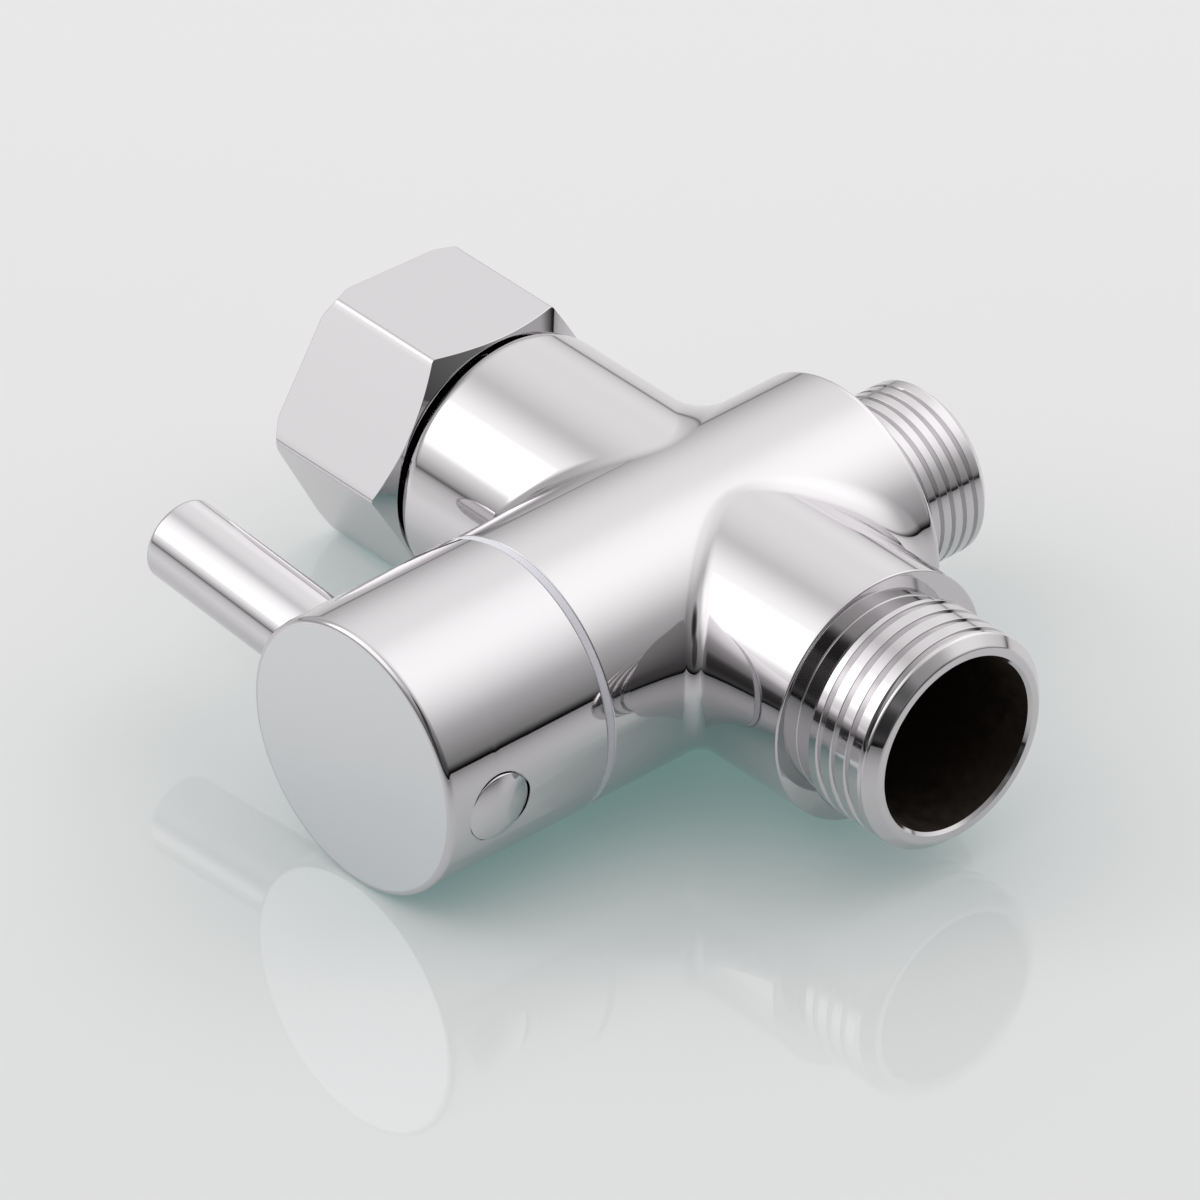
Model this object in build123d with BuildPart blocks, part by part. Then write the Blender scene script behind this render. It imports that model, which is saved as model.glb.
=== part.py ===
from build123d import *
import os
from math import cos, radians, sin, sqrt, tan

# Shower diverter valve, millimetres. The origin is on the inlet's axis where the swivel nut's
# thread starts, just off the washer that the supply pipe is screwed against. +Y leaves the nut
# along the inlet arm's axis, +X leaves the rear outlet along the barrel's axis, and +Z is up as
# the valve lies.
# Sizes along the barrel and the arms are measured from the point where their axes cross.

# Fits: the gap on the radius, or between two flat faces
running_fit = 0.10
static_fit = 0.05
face_gap = 0.05
loose_fit = 0.15

# Barrel
barrel_r = 13.1
barrel_edge = 0.6
arm_blend = 3.5
front_land = 5.3
rear_land = 1.2

# Inlet arm and the spigot that the swivel nut turns on
inlet_arm_r = barrel_r - 0.6
inlet_arm_end = 26.2
inlet_arm_edge = 1.2
spigot_r = 8.0
spigot_land = 1.6
inlet_bore_r = 5.6
inlet_bore_depth = 21.2

# Front arm and its male thread, G 1/2
front_arm_r = barrel_r - 1.0
front_arm_end = 23.8
front_arm_edge = 0.15
front_thread_r = 10.48
front_thread_length = 10.35
front_thread_depth = 0.6
front_thread_pitch = 1.814
front_crest = 1.15
front_relief_step = 0.18
front_relief = 1.6
front_bore_r = 8.44
front_bore_depth = 19.3
drill_angle = 59

# Rear outlet and its male thread, G 3/8
rear_thread_r = 8.33
rear_thread_length = 10.4
rear_thread_depth = 0.45
rear_thread_pitch = 1.337
rear_crest = 0.85
rear_relief_step = 0.15
rear_relief = 1.4
rear_bore_r = 6.2
thread_lead_in = 1.0
thread_angle = 55
mouth_bevel = 0.3

# Waterways through the drum
port_r = 3.7
port_margin = 0.2
disc_port_wall = 0.3

# The bore that holds the working parts, from the barrel's front end inwards
barrel_wall = 2.5
mouth_step = 0.9
mouth_recess = 1.2
gland_seat_depth = 4.5
gland_seat_step = 0.4
seat_wall = 2.0
seat_face = 12.5
disc_lug_angle = 24
disc_lug_height = 2.2
disc_lug_wall = 1.6
disc_lugs_at = (90, 270)
notch_clear_angle = 4

# Sleeve, drum and stem
liner_wall = 0.95
drum_wall = 1.9
drum_web = 2.5
window_start = 66
window_end = 204
drive_lug_angle = 40
drive_lug_height = 1.8
stem_r = 4.5
stem_from_face = 2.4
flat_from_back = 4.8
flat_offset = 3.5
o_ring_r = 0.62
o_ring_groove = 1.9
o_ring_gap = 0.65
o_rings_from_nose = (2.2, 5.5)

# Discs, gasket and washer
gasket_thickness = 1.2
fixed_disc_thickness = 3.0
moving_disc_clear = 0.2
moving_disc_thickness = 2.8
disc_bevel = 0.3
thrust_washer_thickness = 1.1

# Gland nut
gland_shoulder = 0.785
gland_hex_height = 3.9
gland_thread_length = 3.1
gland_nose_length = 3.6
gland_groove_from_nose = 0.9

# Plastic stop ring between the knob and the barrel
ring_thickness = 0.85
stop_lug_clear = 0.3
stop_lug_wall = 0.9
stop_lug_height = 4.2
stop_lug_angle = 30
stop_lug_middle = 270
ring_key_width = 3.0
ring_key_height = 0.7

# Knob, turned with the drum; the lever stands a little above the inlet arm as it lies
turn_range = 90
lever_rest = 4.5
knob_overhang = 0.1
knob_length = 18.2
knob_edge = 0.6
knob_rim_wall = 1.55
knob_recess = 2.2
stop_groove_clear = 0.25
stop_groove_depth = 5.0
stop_margin = 1.0

# Lever
lever_r = 4.0
lever_reach = 33.1
lever_from_back = 9.8
lever_inset = 2.4
lever_edge = 0.6
stud_r = 2.5
stud_length = 4.2

# Set screw and the plug over it
screw_from_back = 12.5
screw_r = 2.0
screw_length = 5.0
screw_socket = 2.0
screw_socket_depth = 2.4
plug_shank_r = 2.6
plug_shank_length = 2.6
plug_r = 3.33
plug_rim = 0.5
plug_crown = 0.75
plug_inset = 0.7

# Swivel nut, G 1/2, and what is in it
nut_across_flats = 24.4
nut_arm_gap = 0.55
nut_length = 15.1
nut_face_step = 0.2
nut_bevel_angle = 30
nut_far_bevel = 0.95
nut_recess_r = 10.6
nut_recess = 1.2
nut_lip = 1.6
nut_thread_minor_r = 9.32
nut_thread_major_r = 10.48
nut_lead_in = 0.9
nut_turn = -2.4
snap_ring_groove_r = 7.5
snap_ring_width = 1.0
snap_ring_wall = 1.2
snap_ring_gap_angle = 26
washer_clear = 0.32
washer_thickness = 1.85
strainer_rim_r = 7.2
strainer_thickness = 0.4
strainer_dish_r = 5.2
strainer_floor_r = 4.4
strainer_dish = 1.8
strainer_hole_r = 0.45
strainer_pitch = 1.25
strainer_rings = 3

# Where things come to lie along the inlet's axis
nut_near = inlet_arm_end + nut_arm_gap
nut_far = nut_near + nut_length
nut_lip_top = nut_near + nut_recess + nut_lip
groove_start = nut_lip_top + loose_fit
groove_end = groove_start + snap_ring_width + 2 * face_gap
spigot_end = groove_end + spigot_land
washer_face = -loose_fit
valve_y = washer_face - washer_thickness - spigot_end
nut_thread_start = -valve_y - face_gap
barrel_axis = Axis((0, valve_y, 0), (1, 0, 0))
inlet_axis = Axis((0, valve_y, 0), (0, 1, 0))
barrel_section = Plane(origin=(0, valve_y, 0), x_dir=(1, 0, 0), z_dir=(0, -1, 0))
inlet_section = Plane(origin=(0, valve_y, 0), x_dir=(0, 1, 0), z_dir=(1, 0, 0))
front_section = Plane(origin=(0, valve_y, 0), x_dir=(0, -1, 0), z_dir=(-1, 0, 0))

# and along the barrel's, where plain lands are left beside the inlet arm's blend
barrel_front = inlet_arm_r + arm_blend + front_land
barrel_rear = inlet_arm_r + arm_blend + rear_land
knob_back = -(barrel_front + ring_thickness + face_gap)
knob_face = knob_back - knob_length
lever_at = knob_back - lever_from_back
screw_at = knob_back - screw_from_back
stem_end = knob_face + stem_from_face
flat_start = knob_back - flat_from_back
gland_seat = -barrel_front + gland_seat_depth
gland_nose = gland_seat + gland_nose_length
gland_thread_top = gland_seat - gland_thread_length
gland_top = gland_thread_top - gland_hex_height
drum_front = gland_nose + thrust_washer_thickness + 2 * face_gap
stem_o_rings_at = [gland_nose - from_nose for from_nose in o_rings_from_nose]
fixed_disc_back = seat_face - gasket_thickness
fixed_disc_face = fixed_disc_back - fixed_disc_thickness
moving_disc_back = fixed_disc_face - face_gap
moving_disc_face = moving_disc_back - moving_disc_thickness
drum_back = moving_disc_face - face_gap

# Radii that follow from their neighbours
gland_bore_r = barrel_r - barrel_wall
mouth_recess_r = gland_bore_r + mouth_step
core_bore_r = gland_bore_r - gland_seat_step
gasket_r = core_bore_r - disc_lug_wall
disc_port_offset = gasket_r - disc_port_wall - port_r
liner_r = core_bore_r - static_fit
liner_bore_r = liner_r - liner_wall
drum_r = liner_bore_r - running_fit
drum_bore_r = drum_r - drum_wall
moving_disc_r = liner_bore_r - moving_disc_clear
gland_bore_clear_r = stem_r + running_fit
gland_thread_r = gland_bore_r - static_fit
gland_hex_corner_r = gland_bore_r - gland_shoulder
ring_inner_r = gland_bore_r + loose_fit
ring_key_r = mouth_recess_r + ring_key_height
knob_r = barrel_r + knob_overhang
knob_recess_r = knob_r - knob_rim_wall
stop_lug_r = knob_recess_r - stop_lug_clear
stop_lug_inner_r = stop_lug_r - stop_lug_wall
stop_groove_r = stop_lug_inner_r - stop_groove_clear
lever_seat = knob_r - lever_inset
plug_seat = knob_r - plug_inset
nut_face_r = nut_across_flats / 2 - nut_face_step
nut_bore_r = spigot_r + loose_fit
washer_r = nut_thread_minor_r - washer_clear


def turn(plane, axis, *points, angle=360, mode=Mode.ADD):
    """Turn the closed outline through the points, (along, radius), about the axis."""
    with BuildSketch(plane) as outline:
        with BuildLine():
            Polyline(*points, close=True)
        make_face()
    revolve(outline.sketch, axis=axis, revolution_arc=angle, mode=mode)


def turned_ring(plane, axis, start, end, inner, outer, angle=360, mode=Mode.ADD):
    """Turn a rectangle from start to end along the axis, between two radii."""
    corners = ((start, inner), (end, inner), (end, outer), (start, outer))
    turn(plane, axis, *corners, angle=angle, mode=mode)


def thread_outline(start, relief, relief_step, length, crest_r, depth, pitch, crest):
    """Outline of a male thread, (along, radius): relief groove, ridges a pitch apart, lead-in.

    The ridges are rings. Each has a flat crest and the thread's angle between its flanks.
    """
    root_r = crest_r - depth
    relief_r = root_r - relief_step
    flank = depth * tan(radians(thread_angle / 2))
    tip = start + length
    crest_start = start + relief + crest_r - relief_r
    outline = [(start, relief_r), (start + relief, relief_r), (crest_start, crest_r)]
    for groove in range(int((tip - thread_lead_in - crest - crest_start) / pitch)):
        groove_start = crest_start + crest + groove * pitch
        outline += [(groove_start, crest_r), (groove_start + flank, root_r),
                    (groove_start + pitch - crest - flank, root_r),
                    (groove_start + pitch - crest, crest_r)]
    return outline + [(tip - thread_lead_in, crest_r), (tip, crest_r - thread_lead_in)]


def barrel_plane(angle):
    """Plane through the barrel's axis, turned so that its outline starts at the angle.

    Angles go right-handed about +X, from 0 at the front outlet to 180 at the inlet.
    """
    out = Vector(0, -cos(radians(angle)), -sin(radians(angle)))
    return Plane(origin=(0, valve_y, 0), x_dir=(1, 0, 0), z_dir=Vector(1, 0, 0).cross(out))


def side_plane(along, angle, height):
    """Plane square to a radius of the barrel, the height out from its axis."""
    out = Vector(0, -cos(radians(angle)), -sin(radians(angle)))
    origin = Vector(along, valve_y, 0) + out * height
    return Plane(origin=origin, x_dir=(1, 0, 0), z_dir=out)


def round_hole(along, angle, start, end, radius, mode=Mode.SUBTRACT):
    """A round bar or hole on a radius of the barrel, from start to end."""
    with BuildSketch(side_plane(along, angle, start)) as outline:
        Circle(radius)
    extrude(outline.sketch, amount=end - start, mode=mode)


def bevelled_disc(start, end, radius, bevel):
    """Turn a round disc with bevelled edges about the barrel's axis."""
    turn(barrel_section, barrel_axis, (start, 0), (start, radius - bevel), (start + bevel, radius),
         (end - bevel, radius), (end, radius - bevel), (end, 0))


lever_angle = 180 + lever_rest
screw_angle = lever_rest
drive_lugs_at = (lever_rest, 180 + lever_rest)
port_angles = (0, 180)

# Cast body: the barrel with its two arms, blended where they cross
with BuildPart() as valve_body:
    turn(barrel_section, barrel_axis,
         (-barrel_front, 0), (-barrel_front, barrel_r), (barrel_rear, barrel_r), (barrel_rear, 0))
    turn(inlet_section, inlet_axis, (0, 0), (0, inlet_arm_r), (inlet_arm_end, inlet_arm_r),
         (inlet_arm_end, 0))
    turn(front_section, inlet_axis, (0, 0), (0, front_arm_r), (front_arm_end, front_arm_r),
         (front_arm_end, 0))
    crossings = valve_body.edges().filter_by(GeomType.LINE, reverse=True)
    crossings = crossings.filter_by(GeomType.CIRCLE, reverse=True)
    fillet(crossings, radius=arm_blend)
    rear_rim = valve_body.edges().filter_by(GeomType.CIRCLE).group_by(Axis.X)[-1]
    fillet(rear_rim, radius=barrel_edge)
    inlet_rim = valve_body.edges().filter_by(GeomType.CIRCLE).group_by(Axis.Y)[-1]
    fillet(inlet_rim, radius=inlet_arm_edge)
    front_rim = valve_body.edges().filter_by(GeomType.CIRCLE).group_by(Axis.Y)[0]
    chamfer(front_rim, length=front_arm_edge)

    # Spigot with the groove for its split ring
    turn(inlet_section, inlet_axis, (inlet_arm_end, 0), (inlet_arm_end, spigot_r),
         (groove_start, spigot_r), (groove_start, snap_ring_groove_r),
         (groove_end, snap_ring_groove_r), (groove_end, spigot_r),
         (spigot_end - mouth_bevel, spigot_r), (spigot_end, spigot_r - mouth_bevel), (spigot_end, 0))

    # Front and rear threads, each with its relief groove and lead-in
    front_tip = front_arm_end + front_thread_length
    turn(front_section, inlet_axis, (front_arm_end, 0),
         *thread_outline(front_arm_end, front_relief, front_relief_step, front_thread_length,
                         front_thread_r, front_thread_depth, front_thread_pitch, front_crest),
         (front_tip, 0))
    rear_tip = barrel_rear + rear_thread_length
    turn(barrel_section, barrel_axis, (barrel_rear, 0),
         *thread_outline(barrel_rear, rear_relief, rear_relief_step, rear_thread_length,
                         rear_thread_r, rear_thread_depth, rear_thread_pitch, rear_crest),
         (rear_tip, 0))

    # Bore for the working parts
    turn(barrel_section, barrel_axis, (-barrel_front, 0), (-barrel_front, mouth_recess_r),
         (-barrel_front + mouth_recess, mouth_recess_r), (-barrel_front + mouth_recess, gland_bore_r),
         (gland_seat, gland_bore_r), (gland_seat, core_bore_r), (seat_face, core_bore_r),
         (seat_face, 0), mode=Mode.SUBTRACT)
    with BuildSketch(Plane.YZ.offset(-barrel_front)) as key_way:
        with Locations((valve_y, ring_key_r / 2)):
            Rectangle(ring_key_width + 2 * static_fit, ring_key_r + 2 * static_fit)
    extrude(key_way.sketch, amount=mouth_recess, mode=Mode.SUBTRACT)
    for lug_middle in disc_lugs_at:
        turned_ring(barrel_plane(lug_middle - disc_lug_angle / 2), barrel_axis,
                    seat_face - disc_lug_height, seat_face, gasket_r + static_fit,
                    core_bore_r + static_fit, angle=disc_lug_angle)

    # Waterways: the outlets' bores, and the ports into the drum's bore
    turned_ring(barrel_section, barrel_axis, seat_face + seat_wall, rear_tip, 0, rear_bore_r,
                mode=Mode.SUBTRACT)
    port_clear_r = port_r + port_margin
    drill_tip = (front_bore_r - port_clear_r) / tan(radians(drill_angle))
    front_floor = front_tip - front_bore_depth
    turn(front_section, inlet_axis, (0, 0), (0, port_clear_r), (front_floor - drill_tip, port_clear_r),
         (front_floor, front_bore_r), (front_tip - mouth_bevel, front_bore_r),
         (front_tip, front_bore_r + mouth_bevel), (front_tip, 0), mode=Mode.SUBTRACT)
    inlet_floor = spigot_end - inlet_bore_depth
    turn(inlet_section, inlet_axis, (0, 0), (0, port_clear_r), (inlet_floor, port_clear_r),
         (inlet_floor, inlet_bore_r), (spigot_end, inlet_bore_r), (spigot_end, 0), mode=Mode.SUBTRACT)
    with BuildSketch(Plane.YZ.offset(seat_face)) as seat_port:
        with Locations((valve_y - disc_port_offset, 0)):
            Circle(port_r)
    extrude(seat_port.sketch, amount=seat_wall, mode=Mode.SUBTRACT)
valve_body.part.label = "valve_body"

# Slippery sleeve that the drum turns in
with BuildPart() as port_liner:
    liner_front = gland_nose + face_gap
    turned_ring(barrel_section, barrel_axis, liner_front, fixed_disc_face - face_gap,
                liner_bore_r, liner_r)
    for port_angle in port_angles:
        round_hole(0, port_angle, 0, core_bore_r, port_r)
port_liner.part.label = "port_liner"

# Rubber gasket between the body's seat and the fixed disc
with BuildPart() as disc_gasket:
    with BuildSketch(Plane.YZ.offset(fixed_disc_back + face_gap)):
        with Locations((valve_y, 0)):
            Circle(gasket_r)
        with Locations((valve_y - disc_port_offset, 0)):
            Circle(port_r + port_margin, mode=Mode.SUBTRACT)
    extrude(amount=gasket_thickness - 2 * face_gap)
disc_gasket.part.label = "disc_gasket"

# Ceramic disc that stays still: the body's two lugs sit in its notches
with BuildPart() as fixed_disc:
    bevelled_disc(fixed_disc_face, fixed_disc_back, liner_r, disc_bevel)
    for lug_middle in disc_lugs_at:
        notch_angle = disc_lug_angle + notch_clear_angle
        turned_ring(barrel_plane(lug_middle - notch_angle / 2), barrel_axis,
                    seat_face - disc_lug_height - face_gap, fixed_disc_back, gasket_r, core_bore_r,
                    angle=notch_angle, mode=Mode.SUBTRACT)
    with BuildSketch(Plane.YZ.offset(fixed_disc_face)) as still_port:
        with Locations((valve_y - disc_port_offset, 0)):
            Circle(port_r)
    extrude(still_port.sketch, amount=fixed_disc_thickness, mode=Mode.SUBTRACT)
fixed_disc.part.label = "fixed_disc"

# Ceramic disc that turns with the drum, its port a quarter turn behind the drum's front port
with BuildPart() as moving_disc:
    bevelled_disc(moving_disc_face, moving_disc_back, moving_disc_r, disc_bevel)
    for lug_middle in drive_lugs_at:
        notch_angle = drive_lug_angle + notch_clear_angle
        turned_ring(barrel_plane(lug_middle - notch_angle / 2), barrel_axis,
                    moving_disc_face, drum_back + drive_lug_height + 2 * face_gap,
                    drum_bore_r - static_fit, moving_disc_r, angle=notch_angle, mode=Mode.SUBTRACT)
    disc_port_angle = lever_rest - turn_range
    with BuildSketch(Plane.YZ.offset(moving_disc_face)) as turning_port:
        with Locations((valve_y - disc_port_offset * cos(radians(disc_port_angle)),
                        -disc_port_offset * sin(radians(disc_port_angle)))):
            Circle(port_r)
    extrude(turning_port.sketch, amount=moving_disc_thickness, mode=Mode.SUBTRACT)
moving_disc.part.label = "moving_disc"

# Hollow drum and its stem, one turned piece: window for the inlet, port for the front outlet
with BuildPart() as valve_core:
    groove_bottom_r = gland_bore_clear_r - 2 * o_ring_gap
    drum_shaft = [(drum_back, 0), (drum_back, drum_r), (drum_front, drum_r), (drum_front, stem_r)]
    for groove_middle in stem_o_rings_at:
        drum_shaft += [(groove_middle + o_ring_groove / 2, stem_r),
                       (groove_middle + o_ring_groove / 2, groove_bottom_r),
                       (groove_middle - o_ring_groove / 2, groove_bottom_r),
                       (groove_middle - o_ring_groove / 2, stem_r)]
    drum_shaft += [(stem_end + mouth_bevel, stem_r), (stem_end, stem_r - mouth_bevel), (stem_end, 0)]
    turn(barrel_section, barrel_axis, *drum_shaft)
    turned_ring(barrel_section, barrel_axis, drum_front + drum_web, drum_back, 0, drum_bore_r,
                mode=Mode.SUBTRACT)
    for lug_middle in drive_lugs_at:
        turned_ring(barrel_plane(lug_middle - drive_lug_angle / 2), barrel_axis, drum_back - disc_bevel,
                    drum_back + drive_lug_height, drum_bore_r, drum_r - disc_bevel,
                    angle=drive_lug_angle)
    turned_ring(barrel_plane(lever_rest + window_start), barrel_axis, -port_r, port_r,
                drum_bore_r - drum_wall, drum_r + drum_wall, angle=window_end - window_start,
                mode=Mode.SUBTRACT)
    round_hole(0, lever_rest, 0, drum_r + drum_wall, port_r)
    for flat_side in (screw_angle, lever_angle):
        with BuildSketch(side_plane((flat_start + stem_end) / 2, flat_side, flat_offset)) as flat:
            Rectangle(flat_start - stem_end, 2 * stem_r)
        extrude(flat.sketch, amount=stem_r, mode=Mode.SUBTRACT)
valve_core.part.label = "valve_core"

# Washer between the drum's front face and the gland nut
with BuildPart() as thrust_washer:
    turned_ring(barrel_section, barrel_axis, gland_nose + face_gap, drum_front - face_gap,
                gland_bore_clear_r, liner_bore_r - loose_fit)
thrust_washer.part.label = "thrust_washer"

# Gland nut: hexagon inside the knob, thread in the barrel, nose that holds the sleeve
with BuildPart() as gland_nut:
    nose_groove_end = gland_nose - gland_groove_from_nose
    nose_groove_start = nose_groove_end - o_ring_groove
    nose_groove_r = core_bore_r - 2 * o_ring_gap
    turn(barrel_section, barrel_axis, (gland_thread_top, 0), (gland_thread_top, gland_thread_r),
         (gland_seat, gland_thread_r), (gland_seat, liner_r),
         (nose_groove_start, liner_r), (nose_groove_start, nose_groove_r),
         (nose_groove_end, nose_groove_r), (nose_groove_end, liner_r), (gland_nose, liner_r),
         (gland_nose, 0))
    with BuildSketch(Plane.YZ.offset(gland_top)) as gland_head:
        with Locations((valve_y, 0)):
            RegularPolygon(gland_hex_corner_r, 6)
    extrude(gland_head.sketch, amount=gland_hex_height)
    turned_ring(barrel_section, barrel_axis, gland_top, gland_nose, 0, gland_bore_clear_r,
                mode=Mode.SUBTRACT)
gland_nut.part.label = "gland_nut"

# O-rings: two on the stem, one on the gland nut's nose
o_rings = (("stem_o_ring_inner", stem_o_rings_at[0], gland_bore_clear_r - o_ring_gap),
           ("stem_o_ring_outer", stem_o_rings_at[1], gland_bore_clear_r - o_ring_gap),
           ("gland_o_ring", nose_groove_end - o_ring_groove / 2, core_bore_r - o_ring_gap))
sealing_rings = []
for ring_name, along, middle_r in o_rings:
    with BuildPart() as sealing_ring:
        with BuildSketch(barrel_section) as cord:
            with Locations((along, middle_r)):
                Circle(o_ring_r)
        revolve(cord.sketch, axis=barrel_axis)
    sealing_ring.part.label = ring_name
    sealing_rings.append(sealing_ring.part)

# Stop ring: the pale line at the knob's seam, keyed to the body, with the knob's stop lug
with BuildPart() as stop_ring:
    ring_front = -barrel_front - ring_thickness
    turned_ring(barrel_section, barrel_axis, ring_front, -barrel_front, ring_inner_r, barrel_r)
    turned_ring(barrel_section, barrel_axis, -barrel_front, -barrel_front + mouth_recess - face_gap,
                ring_inner_r, mouth_recess_r - static_fit)
    with BuildSketch(Plane.YZ.offset(-barrel_front)) as key:
        with Locations((valve_y, (ring_key_r + ring_inner_r) / 2)):
            Rectangle(ring_key_width, ring_key_r - ring_inner_r)
    extrude(key.sketch, amount=mouth_recess - face_gap)
    turned_ring(barrel_section, barrel_axis, -barrel_front, -barrel_front + mouth_recess, 0,
                ring_inner_r, mode=Mode.SUBTRACT)
    turned_ring(barrel_plane(stop_lug_middle - stop_lug_angle / 2), barrel_axis,
                ring_front - stop_lug_height, ring_front, stop_lug_inner_r, stop_lug_r,
                angle=stop_lug_angle)
    turned_ring(barrel_plane(stop_lug_middle - stop_lug_angle / 2), barrel_axis,
                ring_front, ring_front + ring_thickness, stop_lug_inner_r, stop_lug_r,
                angle=stop_lug_angle)
stop_ring.part.label = "stop_ring"

# Knob: turned cap with a recess for the gland nut and a curved groove for the stop lug
with BuildPart() as knob:
    turn(barrel_section, barrel_axis, (knob_back, 0), (knob_back, knob_r), (knob_face, knob_r),
         (knob_face, 0))
    fillet(knob.edges().filter_by(GeomType.CIRCLE).group_by(Axis.X)[0], radius=knob_edge)
    turned_ring(barrel_section, barrel_axis, knob_back - knob_recess, knob_back, 0, knob_recess_r,
                mode=Mode.SUBTRACT)
    groove_from = stop_lug_middle - stop_lug_angle / 2 - turn_range + lever_rest - stop_margin
    turned_ring(barrel_plane(groove_from), barrel_axis, knob_back - stop_groove_depth, knob_back,
                stop_groove_r, knob_recess_r, angle=turn_range + stop_lug_angle + 2 * stop_margin,
                mode=Mode.SUBTRACT)
    turned_ring(barrel_section, barrel_axis, flat_start, knob_back, 0, stem_r + static_fit,
                mode=Mode.SUBTRACT)
    with BuildSketch(Plane.YZ.offset(stem_end - face_gap)) as stem_socket:
        with Locations((valve_y, 0)):
            Circle(stem_r + static_fit)
            Rectangle(2 * (flat_offset + static_fit), 3 * stem_r, rotation=lever_rest,
                      mode=Mode.INTERSECT)
    extrude(stem_socket.sketch, amount=flat_start - stem_end + face_gap, mode=Mode.SUBTRACT)
    round_hole(lever_at, lever_angle, lever_seat, knob_r, lever_r + static_fit)
    round_hole(lever_at, lever_angle, lever_seat - stud_length - face_gap, lever_seat,
               stud_r + static_fit)
    round_hole(screw_at, screw_angle, plug_seat, knob_r, plug_r + static_fit)
    round_hole(screw_at, screw_angle, plug_seat - plug_shank_length - face_gap, plug_seat,
               plug_shank_r + static_fit)
    round_hole(screw_at, screw_angle, 0, plug_seat, screw_r + static_fit)
knob.part.label = "knob"

# Lever: bar with a rounded end, seated in the knob's side and held by its stud
with BuildPart() as lever:
    round_hole(lever_at, lever_angle, lever_seat + face_gap, lever_reach, lever_r, mode=Mode.ADD)
    lever_tip = lever.edges().filter_by(GeomType.CIRCLE).sort_by(Axis.Y)[-1]
    fillet(lever_tip, radius=lever_edge)
    round_hole(lever_at, lever_angle, lever_seat - stud_length, lever_seat + face_gap, stud_r,
               mode=Mode.ADD)
lever.part.label = "lever"

# Grub screw that bears on the stem's flat, driven by a hexagon key
with BuildPart() as set_screw:
    screw_foot = flat_offset + face_gap
    screw_top = screw_foot + screw_length
    round_hole(screw_at, screw_angle, screw_foot, screw_top, screw_r, mode=Mode.ADD)
    with BuildSketch(side_plane(screw_at, screw_angle, screw_top - screw_socket_depth)) as socket:
        RegularPolygon(screw_socket / 2, 6, major_radius=False)
    extrude(socket.sketch, amount=screw_socket_depth, mode=Mode.SUBTRACT)
set_screw.part.label = "set_screw"

# Domed plug pressed in over the grub screw
with BuildPart() as screw_cap:
    round_hole(screw_at, screw_angle, plug_seat - plug_shank_length, plug_seat + face_gap,
               plug_shank_r, mode=Mode.ADD)
    dome_r = (plug_r ** 2 + plug_crown ** 2) / (2 * plug_crown)
    dome_centre = plug_seat + plug_rim + plug_crown - dome_r
    halfway = dome_centre + sqrt(dome_r ** 2 - (plug_r / 2) ** 2)
    with BuildSketch(barrel_plane(screw_angle)) as dome:
        with BuildLine():
            Polyline((screw_at, dome_centre + dome_r), (screw_at, plug_seat + face_gap),
                     (screw_at + plug_r, plug_seat + face_gap),
                     (screw_at + plug_r, plug_seat + plug_rim))
            ThreePointArc((screw_at + plug_r, plug_seat + plug_rim), (screw_at + plug_r / 2, halfway),
                          (screw_at, dome_centre + dome_r))
        make_face()
    plug_plane = side_plane(screw_at, screw_angle, 0)
    revolve(dome.sketch, axis=Axis(plug_plane.origin, plug_plane.z_dir))
screw_cap.part.label = "screw_cap"

# Hexagonal swivel nut: bevelled at both ends, lip behind the split ring, thread at its mouth
with BuildPart() as union_nut:
    nut_plane = Plane(origin=(0, valve_y + nut_near, 0), x_dir=(1, 0, 0), z_dir=(0, 1, 0))
    with BuildSketch(nut_plane):
        RegularPolygon(nut_across_flats / 2, 6, major_radius=False, rotation=-nut_turn)
    extrude(amount=nut_length)
    nut_corner_r = nut_across_flats / 2 / cos(radians(30))
    bevel = (nut_corner_r - nut_face_r) * tan(radians(nut_bevel_angle))
    turn(inlet_section, inlet_axis, (nut_near, 0), (nut_near, nut_face_r),
         (nut_near + bevel, nut_corner_r),
         (nut_far - nut_far_bevel, nut_corner_r), (nut_far, nut_corner_r - nut_far_bevel),
         (nut_far, 0), mode=Mode.INTERSECT)
    relief_r = nut_thread_major_r + loose_fit
    turn(inlet_section, inlet_axis, (nut_near, 0), (nut_near, nut_recess_r),
         (nut_near + nut_recess, nut_recess_r), (nut_near + nut_recess, nut_bore_r),
         (nut_lip_top, nut_bore_r), (nut_lip_top, relief_r),
         (nut_thread_start + nut_thread_minor_r - relief_r, relief_r),
         (nut_thread_start, nut_thread_minor_r), (nut_far - nut_lead_in, nut_thread_minor_r),
         (nut_far, nut_thread_minor_r + nut_lead_in),
         (nut_far, 0), mode=Mode.SUBTRACT)
union_nut.part.label = "union_nut"

# Split ring in the spigot's groove, which keeps the nut on
with BuildPart() as retaining_ring:
    ring_start = groove_start + face_gap
    ring_bore_r = snap_ring_groove_r + static_fit
    turned_ring(inlet_section, inlet_axis, ring_start, ring_start + snap_ring_width, ring_bore_r,
                ring_bore_r + snap_ring_wall, angle=360 - snap_ring_gap_angle)
retaining_ring.part.label = "retaining_ring"

# Rubber washer on the spigot's end, with a recess for the strainer's rim
with BuildPart() as inlet_washer:
    rim_floor = washer_face - strainer_thickness - face_gap
    washer_foot = washer_face - washer_thickness + face_gap
    turn(Plane.XY, Axis.Y, (inlet_bore_r, washer_foot), (washer_r, washer_foot),
         (washer_r, washer_face), (strainer_rim_r + static_fit, washer_face),
         (strainer_rim_r + static_fit, rim_floor), (inlet_bore_r, rim_floor))
inlet_washer.part.label = "inlet_washer"

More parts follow.
